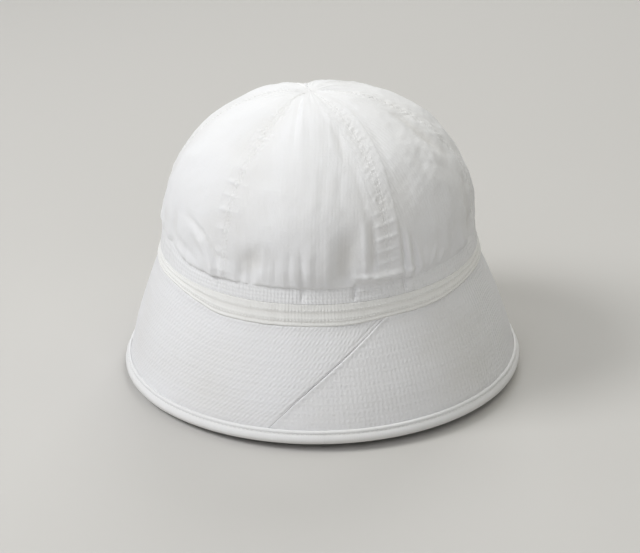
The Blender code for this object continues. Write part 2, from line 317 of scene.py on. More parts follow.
def bell(away, width):
    """exp(-(away / width)^2)."""
    return np.exp(-(away / width) ** 2)


def crown_outline():
    """Hem: a cone. Dome: radius = R cos(t)^p and height = widest + rise sin(t) - dimple."""
    hem_height = np.linspace(HEM_START, CREASE_HEIGHT, 60)
    hem_radius = HEM_RADIUS - HEM_LEAN * (hem_height - TAPE_TOP)
    first = math.asin((CREASE_HEIGHT + 0.3 * MM - WIDEST_HEIGHT) / CROWN_RISE)
    last = math.acos((TIP_RADIUS / CROWN_RADIUS) ** (1.0 / DOME_POWER))
    t = np.linspace(first, last, 1500)
    dome_radius = CROWN_RADIUS * np.cos(t) ** DOME_POWER
    dimple = APEX_DIP * bell(dome_radius, DIP_RADIUS)
    height = np.concatenate([hem_height, WIDEST_HEIGHT + CROWN_RISE * np.sin(t) - dimple])
    radius = np.concatenate([hem_radius, dome_radius])
    arc = np.concatenate([[0.0], np.cumsum(np.hypot(np.diff(height), np.diff(radius)))])
    even = np.linspace(0.0, arc[-1], OUTLINE_POINTS)
    height, radius = np.interp(even, arc, height), np.interp(even, arc, radius)
    slopes = [np.pad(np.gradient(line), 15, mode="edge") for line in (height, radius)]
    rise, run = [np.convolve(slope, np.hanning(31), mode="valid") for slope in slopes]
    length = np.hypot(rise, run)
    return even, height, radius, -run / length, rise / length


OUTLINE = crown_outline()
CROWN_ARC = OUTLINE[0][-1]


def on_outline(arc):
    """Height, radius and outward direction (up, out) at an arc length from the hem's start."""
    return [np.interp(arc, OUTLINE[0], line) for line in OUTLINE[1:]]


def on_crown(azimuth, arc, lift=0.0):
    """Points that stand out of the plain crown by the lift."""
    height, radius, up, out = on_outline(arc)
    return place(azimuth, height + up * lift, radius + out * lift)


def arc_at(height):
    """The arc length at which the outline reaches a height."""
    return np.interp(height, OUTLINE[1][:CLIMBING], OUTLINE[0][:CLIMBING])


CREASE = float(arc_at(CREASE_HEIGHT))
print(f"outline {CROWN_ARC / MM:.1f} mm long, crease at {CREASE / MM:.1f} mm")

# %% [markdown]
# ## Folds as strokes
#
# A fold is drawn like a brush stroke on the crown: a straight or slightly bowed line between two
# places, with a half width and a depth. A ridge has a positive depth and a valley a negative one.
# Each row of the table is one fold of the front or the top, drawn after the photograph in degrees
# of azimuth and millimetres. A row without a last value isn't bowed.

# %% The folds of the front
STROKE_COLUMNS = ("azimuth", "height", "to_azimuth", "to_height", "half_width", "depth", "bend")
FRONT_STROKES = (
    # middle gore, left part
    (-28, 86, -20, 110, 6.6, -1.7),
    (-20.8, 88.1, -18.4, 115, 2.2, 0.45),
    (-16, 87, -14.8, 105, 1.5, -0.4),
    (-11.2, 86.5, -10, 111, 1.5, -0.3),
    (-8.8, 87.4, -8.8, 108, 1.5, 0.35),
    (-5.8, 77.4, -6.4, 113.2, 1.3, -0.7),
    (-3.6, 88, -3.6, 115, 1.7, 0.32),
    (-1.6, 87, -1.2, 114.5, 1.4, -0.25),
    # middle gore, right part
    (3.2, 87, 2.4, 124, 2.6, 0.4),
    (7.6, 86.5, 11, 119, 6, -3),
    (11.8, 77.5, 12.4, 89.5, 1.1, -1.3),
    (16, 93, 16.4, 129, 2.6, 1),
    (19.2, 93.5, 19.6, 124, 1.8, -1.2),
    (12.4, 91, 40, 90.4, 1.6, 1.8),
    (13.2, 81.9, 24, 81.6, 0.8, 0.45),
    (22.3, 77, 22.2, 85, 0.7, -0.5),
    (18.5, 78.5, 18.5, 85, 6.5, -0.45),
    (-2.4, 125, 0, 153, 2.6, 0.2),
    (0.8, 126, 4.8, 151, 2.2, -0.2),
    (7.2, 129.7, 10.8, 147, 2.2, -0.25),
    # right gore
    (30.8, 77.8, 30, 121.8, 1, -1.3),
    (33.2, 84.6, 32, 117, 1.9, 1.4),
    (36, 84.6, 34, 111, 1.4, -1.2),
    (38.4, 87, 36.8, 105, 1.6, 0.6),
    (42, 88.5, 46.4, 102, 1.5, 0.6),
    (46.4, 86.8, 49.6, 96, 1.5, 0.5),
    (54.4, 88, 53.2, 112, 2.6, -0.7),
    (62, 87, 60, 108, 4, 0.9),
    (72, 85, 71, 104, 5, -1.3),
    (68.4, 160, 68.4, 131, 5, -1.3),
    (56.8, 139.1, 70, 136.4, 6, 0.8),
    # left gore: the long fold that curls over a plump lobe
    (-37.4, 88, -55.5, 113, 1.7, -1.4, 5.4),
    (-45.5, 105, -60, 114, 3.2, -1.2, 0.8),
    (-39.2, 84, -58.5, 112, 4, 2.2, 6.6),
    (-48, 89.5, -66, 97, 2.8, -0.7, 0.5),
    (-56, 88.6, -68, 92.5, 1.8, 0.5),
    (-36.6, 86, -35.5, 100, 2, 0.3),
    # near the apex
    (-20, 168.7, -12.6, 148, 1.7, -0.55),
    (-12, 168.7, -8.6, 146, 1.9, 0.35),
    (-5, 163, -3.4, 150, 2, -0.2),
    (12, 148, 16.8, 162.2, 1.8, -0.35),
    (8, 152.5, 13.6, 165.5, 1.6, 0.3),
    # short pleats in the hem
    (-6.6, 77, -6.2, 84.5, 0.7, -0.5),
    (-38.5, 77, -38, 83, 0.8, -0.4),
    (33.6, 77, 33.2, 84.5, 1.2, 0.6),
    (31, 77, 30.9, 84.5, 0.8, -0.6),
    # the top's flatter far side
    (146, 160.6, 236, 160.6, 14, -1.6),
    (189.5, 168.7, 189.5, 135, 6, -1.9),
    (158, 168.7, 152, 135, 8, 0.8),
    (-142, 158, -98, 146, 13, -1.1),
)
FRONT_STROKES = np.array([(*row, 0.0)[:7] for row in FRONT_STROKES])
print(len(FRONT_STROKES), "folds drawn by hand")

# %% [markdown]
# The photograph doesn't show the back, but the same gathering goes on round it. Its folds are
# drawn by rule: alternating ridges and valleys of uneven length, width and lean.

# %% The folds of the sides and back
def gathered_strokes(start, stop, count, seed):
    """Upright folds spread from start to stop, ridge and valley in turn, each a little off."""
    rng = np.random.default_rng(seed)
    spread = np.arange(count) + rng.uniform(0.15, 0.85, count)
    foot = start + (stop - start) * spread / count
    head = foot + rng.normal(0.0, 2.2, count)
    top = 84.0 + rng.uniform(16.0, 42.0, count)
    width = rng.uniform(1.4, 4.6, count)
    sign = np.where(np.arange(count) % 2, 1.0, -1.0)
    depth = sign * (0.5 + 0.32 * width) * np.where(sign > 0.0, 0.7, 1.0)
    return together(foot, 85.5, head, top, width, depth, rng.normal(0.0, 0.8, count))


def hem_pleats(start, stop, count, seed):
    """Short shallow valleys and ridges that stay in the hem."""
    rng = np.random.default_rng(seed)
    foot = start + (stop - start) * (np.arange(count) + rng.uniform(0.1, 0.9, count)) / count
    depth = rng.choice([-0.5, -0.35, 0.35], count)
    return together(foot, 77.0, foot + rng.normal(0.0, 0.6, count), 84.0, 0.9, depth, 0.0)


STROKES = np.concatenate([
    FRONT_STROKES, gathered_strokes(84.0, 262.0, 40, 11), gathered_strokes(266.0, 297.0, 7, 12),
    hem_pleats(45.0, 325.0, 22, 13)])
print(len(STROKES), "folds in all")

# %% Laying the strokes on the crown
HIGHEST_PLEAT = 82.0             # a stroke that starts higher stays out of the hem, mm


def folds(points, arc):
    """Sum of the strokes at the points.

    Each stroke is seen straight from outside: run goes from 0 to 1 between its ends, away is the
    distance to its bowed line, and the profile is depth * exp(-(away / half width)^2). The share
    'facing' keeps it from marking the far side of the cap. A stroke that starts above the crease
    doesn't reach into the hem.
    """
    total = np.zeros(points.shape[:-1])
    above = smooth(arc, CREASE - 0.5 * MM, CREASE + 2.0 * MM)
    for row in STROKES:
        stroke = dict(zip(STROKE_COLUMNS, row))
        ends = np.array([stroke["azimuth"], stroke["to_azimuth"]])
        heights = np.array([stroke["height"], stroke["to_height"]]) * MM
        arcs = arc_at(heights)
        first, last = on_crown(ends, arcs)
        mid_azimuth, mid_arc = ends.mean(), arcs.mean()
        east = on_crown(mid_azimuth + 0.5, mid_arc) - on_crown(mid_azimuth - 0.5, mid_arc)
        north = on_crown(mid_azimuth, mid_arc + MM) - on_crown(mid_azimuth, mid_arc - MM)
        out = np.cross(east, north)
        out /= np.linalg.norm(out)
        way = last - first
        length = np.linalg.norm(way)
        way = way / length
        side = np.cross(way, out)
        offset = points - first
        run = offset @ way / length
        away = offset @ side - stroke["bend"] * MM * 4.0 * run * (1.0 - run)
        facing = smooth((points - 0.5 * (first + last)) @ out, -40.0 * MM, -22.0 * MM)
        fade = window(run, -0.10, 0.14, 0.45, 1.06)
        profile = bell(away, stroke["half_width"] * MM)
        gate = above if stroke["height"] > HIGHEST_PLEAT else 1.0
        total = total + stroke["depth"] * MM * profile * fade * facing * gate
    return total


print("plain crown at the front crease, mm:", in_mm(on_crown(0.0, CREASE)))

# %% [markdown]
# ## Puckered seams
#
# A flat-felled seam draws its cloth together, so the cloth stands up in small crumbs along its
# stitches, and in rungs across its lower part. The rungs come from one wave along the seam whose
# phase wanders, and the crumbs from small waves in all directions.

# %% The relief along one seam
# for each seam: the rungs' pitch and depth, the crumbs' depth and the ribbon's height, all in mm,
# and how steeply the rungs rise to the right
SEAM_LOOK = ((10.0, 0.74, 0.13, 0.16, -0.5), (6.6, 0.66, 0.09, 0.8, 1.0),
             (6.0, 0.60, 0.12, 0.8, 0.7), (6.5, 0.60, 0.15, 0.8, -0.6),
             (7.0, 0.60, 0.15, 0.8, 0.5), (8.0, 0.60, 0.14, 0.4, -0.4))
RUNGS_REACH = (62.0, 30.0, 30.0, 30.0, 30.0, 30.0)      # how far up the rungs go, mm
STEP_SHARE = 0.22                # the part of a ribbon's height that is a step, not a swell


def ribbon_half(radius):
    """Half the ribbon's width: 7 mm, or less near the apex where the gores run together."""
    return np.minimum(0.5 * RIBBON, radius * math.tan(math.radians(RIBBON_ANGLE)))


def ribbon_height(arc, number):
    """How far a ribbon stands up: nothing at the tape, most on the crown, little at the apex."""
    height = np.interp(arc / MM, [arc_at(h * MM) / MM for h in (76, 80, 85, 89)], [0, 0.5, 0.5, 1.0])
    height = height * (1.0 - 0.75 * smooth(arc, CROWN_ARC - 30.0 * MM, CROWN_ARC - 3.0 * MM))
    return MM * height * SEAM_LOOK[number][3]


def seam_puckers(away, arc, number):
    """Rungs low down, crumbs mostly higher up, a swell under the ribbon and a middle groove.

    rungs = exp(-(sin(phase / 2) / width)^2), bars across the ribbon that the stitch rows cut in
    three, and crumbs = waves in all directions of the flat ribbon. Both fade at the ribbon's
    edges and at both ends of the seam.
    """
    pitch, rung_depth, crumb_depth, ribbon, rising = SEAM_LOOK[number]
    half = ribbon_half(on_outline(arc)[1])
    phase = TURN * arc / (pitch * MM) + 1.1 * wander(arc, 37.0 * MM, 40 + number)
    rungs = bell(np.sin(0.5 * phase - 400.0 * rising / pitch * away), 0.26 + 0.024 * pitch) - 0.2
    rungs = rungs * (1.0 - 0.7 * (1.0 - ribbon) * smooth(away, -MM, 4.0 * MM))
    rungs = rungs * (1.0 - 0.5 * bell(np.abs(away) - 1.5 * MM, 0.6 * MM))
    crumbs = rumple(together(1.2 * away, arc, 0.0), 3.5 * MM, 50 + number, 24)
    crumbs = crumbs * (1.0 + 0.35 * bell(away, 2.2 * MM))
    top = CREASE + RUNGS_REACH[number] * MM
    low = 1.0 - smooth(arc, top, top + 20.0 * MM)
    field = low * rung_depth * rungs + (0.35 + 0.65 * (1.0 - low)) * crumb_depth * crumbs
    field = field * np.exp(-(away / (0.92 * half + 0.1 * MM)) ** 4)
    field = field * (1.0 + 0.25 * wander(arc, 17.0 * MM, 60 + number))
    field = field * window(arc, CREASE + 2.0 * MM, CREASE + 9.0 * MM,
                           CROWN_ARC - 28.0 * MM, CROWN_ARC - 8.0 * MM)
    swell = (1.0 - STEP_SHARE) * ribbon_height(arc, number)
    swell = swell * (1.0 - smooth(np.abs(away), half - MM, half + 4.5 * MM))
    centre = -0.15 * ribbon * bell(away, 2.2 * MM) * smooth(arc, CREASE - 6.0 * MM, CREASE)
    centre = centre * smooth(CROWN_ARC - arc, 6.0 * MM, 34.0 * MM)
    return MM * (field + centre) + swell


def seam_away(azimuth, radius, number):
    """Distance from a seam, measured round the crown."""
    return np.radians(turned_from(SEAMS[number], azimuth)) * radius


print("rungs' pitch at each seam, mm:", [look[0] for look in SEAM_LOOK])

# %% [markdown]
# ## The whole relief of the crown
#
# The relief adds up, from large to small: gores that puff out between their seams, the drawn
# folds, the crease and the fuller cloth beside it, soft unevenness, and the small gathers round
# the apex.

# %% Everything that stands out of the plain crown
PUFF, TIP_FADE, FILL = 2.2 * MM, 18.0 * MM, 1.35 * MM
HEM_SHOWS = arc_at(76.27 * MM)   # where the hem comes out from under the tape


def gore_puff(azimuth, arc, radius):
    """puff * (sin^2(phase) - 1/2), where phase is 0 at one seam and pi at the next."""
    turns = np.append(SEAMS, SEAMS[0] + 360.0)
    phase = math.pi * np.interp((azimuth - SEAMS[0]) % 360.0, turns - SEAMS[0], np.arange(7))
    above = smooth(arc, CREASE, CREASE + 14.0 * MM)
    flat_top = smooth(radius, 2.0 * MM, 52.0 * MM)
    return PUFF * (np.sin(phase) ** 2 - 0.5) * above * flat_top


def crease_and_hem(azimuth, arc):
    """The hem fills out to the tape's face, and a narrow groove parts it from the crown.

    fill = 1.35 mm from the tape's edge up to the crease, then fading over 18 mm. The crease
    climbs a little where the front tuck hangs over it, and fine gathers rise from it. At the
    front the crown is plump just above it, and at the left it rolls in over the hem.
    """
    turned = turned_from(0.0, azimuth)
    tucked = window(turned, 11.0, 13.0, 28.0, 32.0)
    up = arc - CREASE - 0.3 * MM * ripple(azimuth, 5, 17, 3) - 2.0 * MM * tucked
    sharp = 0.78 + 0.22 * ripple(azimuth, 4, 13, 4)
    sharp = sharp * (1.0 - 0.7 * window(turned, 30.0, 38.0, 80.0, 100.0))
    half_width = np.where(up > 0.0, 0.6, 1.2 + 0.5 * smooth(-turned, 36.0, 48.0)) * MM
    groove = -0.14 * sharp * bell(up, half_width)
    rolled = -0.28 * window(-turned, 38.0, 48.0, 95.0, 125.0) * bell(up, 2.2 * MM)
    overhang = 0.10 * sharp * bell(up - 2.2 * MM, 1.8 * MM)
    gather = 0.20 * ripple(azimuth, 55, 110, 5) * np.exp(-np.maximum(up, 0.0) / (9.0 * MM))
    gather = gather * smooth(up, -0.5 * MM, 1.5 * MM)
    plump = 0.9 * window(turned, -70.0, -55.0, 24.0, 50.0)
    plump = plump * window(up, -1.2 * MM, 2.2 * MM, 1.6 * MM, 14.0 * MM)
    fill = FILL * (arc > HEM_SHOWS) * (1.0 - smooth(arc - CREASE, -1.0 * MM, 18.0 * MM))
    return (groove + rolled + overhang + gather + plump) * MM + fill


def crown_relief(azimuth, arc):
    """Puff + folds + crease and hem + puckers + unevenness + gathers and dimple at the apex."""
    points, radius = on_crown(azimuth, arc), on_outline(arc)[1]
    tip = smooth(radius, 0.0, TIP_FADE)
    total = gore_puff(azimuth, arc, radius) + folds(points, arc) * tip + crease_and_hem(azimuth, arc)
    for number in range(len(SEAMS)):
        total = total + seam_puckers(seam_away(azimuth, radius, number), arc, number)
    turned = turned_from(0.0, azimuth)
    livelier = 1.0 + 1.25 * window(turned, 28.0, 56.0, 110.0, 150.0)
    livelier = livelier * (1.0 - 0.5 * smooth(arc, CREASE + 55.0 * MM, CREASE + 90.0 * MM))
    uneven = 0.16 * rumple(points, 14.0 * MM, 22) + 0.05 * rumple(points, 6.5 * MM, 23, 24)
    uneven = 0.20 * (1.0 + 0.5 * livelier) * rumple(points, 36.0 * MM, 21) + uneven * livelier
    uneven = uneven * smooth(arc, CREASE, CREASE + 8.0 * MM) * smooth(radius, 4.0 * MM, 30.0 * MM)
    gathers = (0.04 + 0.11 * smooth(np.abs(turned), 46.0, 70.0)) * ripple(azimuth, 22, 46, 8)
    gathers = gathers * window(radius, 3.0 * MM, 9.0 * MM, 20.0 * MM, 50.0 * MM)
    return total + (uneven + gathers - 0.9 * bell(radius, 6.0 * MM)) * MM


print("relief at the front, mm:", in_mm(crown_relief(0.0, np.linspace(0.0, CROWN_ARC, 6))))

# %% [markdown]
# ## Six gores
#
# Each gore's left edge is folded over its neighbour and stitched down, so it stands up as a
# ribbon. Its right edge dives under the next ribbon. The grid's columns follow that: fine ones
# over the ribbon, even finer ones beside both seams where the cloth puckers, wider ones between.

# %% Rows and columns of a gore
def gore_rows():
    """Arc lengths: a few under the tape, close ones up to the crease, then even ones."""
    hidden = np.append(np.linspace(arc_at(73.5 * MM), arc_at(76.0 * MM), 5), HEM_SHOWS - 0.03 * MM)
    close = HEM_SHOWS + 0.03 * MM + np.arange(27) * 0.48 * MM
    rest = np.linspace(close[-1] + 0.8 * MM, CROWN_ARC, 178)
    return np.concatenate([hidden, close, rest])


ROWS = gore_rows()
RIBBON_STEPS, BODY_STEPS, TUCK_STEPS = 30, 150, 8
SLIT = 0.025 * MM                 # between a ribbon's edge and the gore that dives under it


def gore_azimuths(radius, angle):
    """Azimuths from the gore's own seam, row by row, left edge to tucked edge."""
    half = np.degrees(ribbon_half(radius) / radius)[:, None]
    slit = np.degrees(SLIT / radius)[:, None]
    ribbon = np.linspace(-1.0, 1.0, RIBBON_STEPS + 1)[None, :-1] * half
    even = np.linspace(0.0, 1.0, BODY_STEPS + 1)
    close = (even - 0.42 * np.sin(TURN * even) / TURN)[None, :]
    body = half + (angle - 2.0 * half - 2.0 * slit) * close
    tuck = angle - half - slit + np.linspace(0.0, 1.6, TUCK_STEPS + 1)[None, :] * half
    return np.concatenate([ribbon, body, tuck], axis=1)


print(f"{len(ROWS)} rows of {RIBBON_STEPS + BODY_STEPS + TUCK_STEPS + 2} points")

# %% Heights of the two layers at a seam
LAYER_GAP = 0.08 * MM


def layer_lift(away, to_next, arc, radius, number):
    """The ribbon steps up on its own gore, and the gore's far edge dives under the next one.

    The ribbon is level with its neighbour at its left edge, rises within 3 mm, and falls
    within 1.4 mm on its right flank. Under the next ribbon the gore keeps a wall's thickness
    and a small gap below that ribbon's top.
    """
    half, step = ribbon_half(radius), STEP_SHARE * ribbon_height(arc, number)
    narrow = half / (0.5 * RIBBON)
    flank = 1.0 - smooth(away, half - 0.5 * MM * narrow, half + 0.9 * MM * narrow)
    rise = smooth(away, -half, -half + 3.0 * MM * narrow)
    under = -(GORE_WALL + LAYER_GAP) * (to_next > -half - 1.5 * SLIT)
    return step * flank * rise + under


def gore(number):
    """One gore as a closed cloth shell between its own seam and the next one."""
    own, following = SEAMS[number], SEAMS[(number + 1) % 6]
    angle = (following - own) % 360.0
    arc = ROWS[:, None]
    radius = on_outline(arc)[1]
    columns = gore_azimuths(radius[:, 0], angle)
    azimuth, away = own + columns, np.radians(columns) * radius
    relief = crown_relief(azimuth, arc)
    lift = relief + layer_lift(away, np.radians(columns - angle) * radius, arc, radius, number)
    outer = on_crown(azimuth, arc, lift)
    inner = on_crown(azimuth[::3, ::3], arc[::3], lowest_near(lift) - GORE_WALL)
    on_hem = 1.0 - smooth(arc, CREASE - 1.5 * MM, CREASE)
    threads = (0.22 + 1.2 * on_hem, 0.12 + 0.8 * on_hem, 0.05 + 0.5 * on_hem)
    weave = (np.radians(columns - 0.5 * angle) * radius, arc)
    # painted shade: cloth that sinks into a fold is darkened in colour, fully at 2 mm deep
    painted_shade = np.clip(-relief / (2.0 * MM), 0.0, 1.0)
    piece = cloth_shell(f"crown_gore_{number + 1}", outer, inner, weave, threads, painted_shade)
    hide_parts(f"crown_panel_{number + 1}")
    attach(piece, "root")
    return piece


GORES = [gore(number) for number in range(6)]

# %% [markdown]
# ## Stitches
#
# A stitch is a short thread that comes up out of the cloth and goes back in. One small capsule,
# bent like that, is copied along every row: the copies are worked out as one array, with each
# stitch's own direction and outward side.

# %% A row of stitches as one mesh
STATIONS = np.array([0.0, 0.16, 0.5, 0.84, 1.0])
RISE = np.array([-0.16, 0.05, 0.15, 0.05, -0.16]) * MM
THICKNESS = np.array([0.10, 0.19, 0.21, 0.19, 0.10]) * MM
SIDES = 6


def stitch_bodies(start, stop, outward, thick):
    """Points and faces of capsules from start to stop, bowed towards outward.

    Point = start + (stop - start) * station + outward * rise
            + thickness * (side cos a + outward sin a), for six angles a.
    """
    way = stop - start
    along = way / np.linalg.norm(way, axis=1)[:, None]
    side = np.cross(along, outward)
    side /= np.linalg.norm(side, axis=1)[:, None]
    top = np.cross(side, along)
    a = np.arange(SIDES)[:, None] * TURN / SIDES
    centre = start[:, None] + way[:, None] * STATIONS[:, None]
    centre = centre + top[:, None] * (RISE * thick)[:, None]
    ring = side[:, None, None] * np.cos(a) + top[:, None, None] * np.sin(a)
    points = centre[:, :, None] + ring * (THICKNESS * thick)[:, None, None]
    count = len(start)
    grid = np.arange(len(STATIONS) * SIDES).reshape(len(STATIONS), SIDES)
    quads = grid_quads(np.concatenate([grid, grid[:, :1]], axis=1).T)
    shift = (np.arange(count) * grid.size)[:, None, None]
    faces = (quads[None] + shift).reshape(-1, 4).tolist()
    faces += (grid[0][None] + shift[:, :, 0]).tolist()
    faces += (grid[-1][::-1][None] + shift[:, :, 0]).tolist()
    return points.reshape(-1, 3), faces


def stitch_piece(name, start, stop, outward, thick):
    """The stitches as one piece that rides on the cap."""
    points, faces = stitch_bodies(start, stop, outward, thick)
    piece = new_piece(name, points, faces, {})
    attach(piece, "root")
    print(f"{name}: {len(start)} stitches")
    return piece


# %% Three rows down each crown seam
ROW_SPACING, SEAM_STITCH, SEAM_GAP = 1.6 * MM, 1.75 * MM, 0.55 * MM


def ribbon_surface(number, away, arc):
    """Points on the top of a gore's own ribbon, and their outward directions."""
    radius = on_outline(arc)[1]
    azimuth = SEAMS[number] + np.degrees(away / radius)
    far = away - 1.0             # the next seam, a metre off, doesn't matter here
    lift = crown_relief(azimuth, arc) + layer_lift(away, far, arc, radius, number)
    points = on_crown(azimuth, arc, lift)
    return points, (on_crown(azimuth, arc, lift + MM) - points) / MM


def seam_stitches(number):
    """Three staggered rows from the tape nearly to the apex, narrowing with the ribbon."""
    one_row = np.arange(arc_at(76.0 * MM), CROWN_ARC - 7.0 * MM, SEAM_STITCH + SEAM_GAP)
    begin = np.concatenate([one_row + 0.7 * MM * row for row in range(3)])
    across = np.repeat([-ROW_SPACING, 0.0, ROW_SPACING], len(one_row))
    end = begin + SEAM_STITCH

    def narrowed(arc):
        return across * ribbon_half(on_outline(arc)[1]) / (0.5 * RIBBON)

    start, outward = ribbon_surface(number, narrowed(begin), begin)
    stop, _ = ribbon_surface(number, narrowed(end), end)
    return stitch_piece(f"seam_stitches_{number + 1}", start, stop, outward, 0.6)


SEAM_THREADS = [seam_stitches(number) for number in range(6)]

# %% [markdown]
# ## The band tape
#
# A flat woven tape hides the joint of crown and brim. Two stitch rows sink into it, and below the
# lower one the fold of the brim shows as a thin rolled ridge. So the tape is a profile with two
# shallow grooves and a ridge, carried once round, with its ends meeting at the front.

# %% Tape profile and body
def band_radius(height):
    """Outer face of the tape: a straight cone between its top and foot."""
    share = (TAPE_TOP - height) / (TAPE_TOP - TAPE_FOOT)
    return TAPE_TOP_RADIUS + (TAPE_FOOT_RADIUS - TAPE_TOP_RADIUS) * share


TAPE_PROFILE = np.array([                       # height and how far it stands out, mm
    (63.75, -0.80), (63.85, -0.45), (64.1, -0.12), (64.6, 0.06), (65.1, 0.08), (65.6, -0.02),
    (66.0, -0.14), (66.4, -0.20), (66.8, -0.14), (67.2, -0.03), (67.7, 0.08), (68.3, 0.13),
    (68.9, 0.10), (69.5, 0.0), (70.1, -0.08), (70.7, -0.14), (71.2, -0.17), (71.6, -0.14),
    (72.0, -0.02), (72.4, 0.08), (72.9, 0.12), (73.5, 0.10), (74.0, 0.04), (74.4, -0.02),
    (74.8, 0.0), (75.5, 0.03), (76.1, 0.0), (76.35, -0.15),
]) * MM
TAPE_COLUMNS = 3 * 300


def strip_azimuths(join, radius, columns, gap):
    """Azimuths once round, from just right of the join to just left of it."""
    half = math.degrees(0.5 * gap / radius)
    return np.linspace(join + half, join + 360.0 - half, columns + 1)


def tape_lift(azimuth):
    """Small waves along the tape, and a slightly proud end at the right of its join."""
    along = ripple(azimuth, 30, 90, 31) * 0.07 * MM + ripple(azimuth, 4, 14, 32) * 0.12 * MM
    right = np.radians((azimuth - TAPE_JOIN) % 360.0) * TAPE_TOP_RADIUS
    return along + 0.16 * MM * bell(right, 2.2 * MM)


def band_tape():
    """The tape's profile carried round, with a plain wall behind it."""
    azimuth = strip_azimuths(TAPE_JOIN, TAPE_TOP_RADIUS, TAPE_COLUMNS, 0.08 * MM)[None, :]
    height, stands = TAPE_PROFILE[:, :1], TAPE_PROFILE[:, 1:]
    outer = place(azimuth, height, band_radius(height) + stands + tape_lift(azimuth))
    inner = place(azimuth[:, ::3], height[::3], band_radius(height[::3]) - TAPE_WALL)
    weave = (np.radians(azimuth) * TAPE_TOP_RADIUS, height)
    low, middle, high = [np.exp(-((height - level) / (0.9 * MM)) ** 4)
                         for level in (67.6 * MM, 73.0 * MM, 76.0 * MM)]
    threads = (0.8 + 0.8 * low + 0.8 * middle + 0.5 * high, 0.35, 0.15)
    # painted shade: the tape's colour darkens in its sunken grooves, fully at 0.5 mm deep
    painted_shade = np.clip(-stands / (0.5 * MM), 0.0, 1.0)
    piece = cloth_shell("woven_tape", outer, inner, weave, threads, painted_shade)
    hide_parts("band_tape")
    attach(piece, "root")
    return piece


TAPE = band_tape()

# %% The tape's two stitch rows
def tape_row(name, height, sunk, pitch, thick):
    """Stitches once round the tape at one height, each two thirds of the pitch long."""
    count = int(TURN * float(band_radius(height)) / pitch)
    begin = TAPE_JOIN + 0.8 + np.arange(count - 1) * 360.0 / count
    level = height + 0.10 * MM * ripple(begin, 20, 60, 70)

    def at(azimuth, lift):
        return place(azimuth, level, band_radius(level) - sunk + lift + tape_lift(azimuth))

    start, stop = at(begin, 0.0), at(begin + 0.66 * 360.0 / count, 0.0)
    return stitch_piece(name, start, stop, (at(begin, MM) - start) / MM, thick)


UPPER_ROW = tape_row("tape_stitches_upper", 73.1 * MM, 0.06 * MM, 2.0 * MM, 1.3)
LOWER_ROW = tape_row("tape_stitches_lower", 67.3 * MM, 0.10 * MM, 2.05 * MM, 1.1)

# %% [markdown]
# ## The brim
#
# The brim is one strip of twill cut on a curve. Its ends overlap along a straight slanting seam
# at the front: the right end lies on top, so beside the seam it stands up a little and the left
# end sinks. The grid's columns follow the seam and crowd together next to it.

# %% Brim outline and seam line
UNDER_TAPE, HALF_BRIM = 1.35 * MM, 1.2 * MM


def brim_radius(height):
    """A straight cone with a bulge of 4 b s (1 - s), upright under the tape, close to its foot."""
    under_tape = band_radius(np.maximum(height, FLARE_TOP)) - UNDER_TAPE
    share = np.maximum((FLARE_TOP - height) / (FLARE_TOP - RIM_HEIGHT), 0.0)
    flare = under_tape + (RIM_RADIUS + HALF_BRIM - under_tape) * share
    close = 0.55 * MM * bell(height - FLARE_TOP + MM, 1.6 * MM)
    return flare + 4.0 * BRIM_BULGE * share * (1.0 - share) + close


FLARE = (RIM_RADIUS - TAPE_FOOT_RADIUS) / (TAPE_FOOT - RIM_HEIGHT)
CONE_SINE = math.sin(math.atan(FLARE))


def cone_radius(height):
    """Radius of the straight cone that the strip unrolls from."""
    return TAPE_FOOT_RADIUS + FLARE * (TAPE_FOOT - height)


SEAM_BOW = 1.0                   # degrees by which the seam's middle lies left of that line


def brim_seam(height):
    """Azimuth of a line that is nearly straight once the cone is unrolled flat."""
    passes = TAPE_FOOT_RADIUS * math.cos(math.radians(BRIM_SEAM_SLANT))
    turned = np.degrees(np.arccos(passes / cone_radius(height))) - BRIM_SEAM_SLANT
    share = np.clip((TAPE_FOOT - height) / (TAPE_FOOT - RIM_HEIGHT), 0.0, 1.0)
    return BRIM_SEAM_TOP - turned / CONE_SINE - 4.0 * SEAM_BOW * share * (1.0 - share)


print("seam azimuth at top and rim:", np.round(brim_seam(np.array([TAPE_FOOT, RIM_HEIGHT])), 1))

# %% Brim body
BRIM_ROWS, BRIM_STEPS = 3 * 20, 3 * 186
SEAM_SLIT = 0.30 * MM


def brim_shares():
    """Column places once round: uneven steps next to both ends, even steps between."""
    near = np.array([0.0, 0.25, 0.5, 0.8, 1.15, 1.55, 2.0, 2.6, 3.3, 4.2, 5.3, 6.5]) / 680.0
    between = np.linspace(near[-1], 1.0 - near[-1], BRIM_STEPS + 1 - 2 * (len(near) - 1))
    return np.concatenate([near[:-1], between, 1.0 - near[-2::-1]])


def brim_relief(points, right, left, height):
    """Soft waves, faint rows, and the seam: proud to its right, sunk to its left."""
    waves = 0.30 * rumple(points, 85.0 * MM, 81) + 0.10 * rumple(points, 30.0 * MM, 82)
    rows = 0.035 * np.sin(TURN * height / (5.4 * MM))
    low, high = smooth(height, 8.0 * MM, 34.0 * MM), smooth(height, 46.0 * MM, 58.0 * MM)
    pulls = 1.0 + 0.35 * wander(height, 3.4 * MM, 83)
    lap = 0.45 * bell(right, 2.4 * MM) - 0.15 * bell(right, 0.5 * MM)
    lap = lap * (0.5 + 0.4 * low + 0.1 * high) * pulls
    dip = -1.05 * (0.15 + 0.85 * low) * (1.0 - 0.7 * high) * bell(left, 1.15 * MM)
    dip = dip * (0.6 + 0.4 * pulls)
    second = -(0.10 + 0.30 * high) * bell(left - 3.0 * MM, 0.6 * MM)
    return (waves + rows + lap + dip + second) * MM


